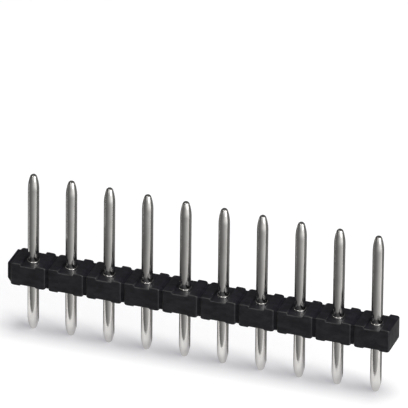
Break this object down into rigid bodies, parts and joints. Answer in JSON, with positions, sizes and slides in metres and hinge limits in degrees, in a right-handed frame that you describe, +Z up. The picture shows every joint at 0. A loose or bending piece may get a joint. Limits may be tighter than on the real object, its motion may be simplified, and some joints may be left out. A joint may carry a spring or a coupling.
{
  "type": "pin header strip",
  "caption": "Straight single-row header: black moulded housing with break-off grooves, and round tinned pins pressed through it, long posts above and solder tails below.",
  "frame": {"origin": "middle of the pin row on the board plane, which is the underside of the stand-off ribs", "axes": "+X along the row towards pin_10, +Y towards the back, +Z up along the contact posts"},
  "size_m": [0.035, 0.003, 0.0154],
  "materials": {
    "housing_plastic": "satin",
    "tinned_pin": "polished"
  },
  "bodies": {
    "root": {"housing": "housing_plastic", "pin_01": "tinned_pin", "pin_02": "tinned_pin", "pin_03": "tinned_pin", "pin_04": "tinned_pin", "pin_05": "tinned_pin", "pin_06": "tinned_pin", "pin_07": "tinned_pin", "pin_08": "tinned_pin", "pin_09": "tinned_pin", "pin_10": "tinned_pin"}
  },
  "joints": []
}
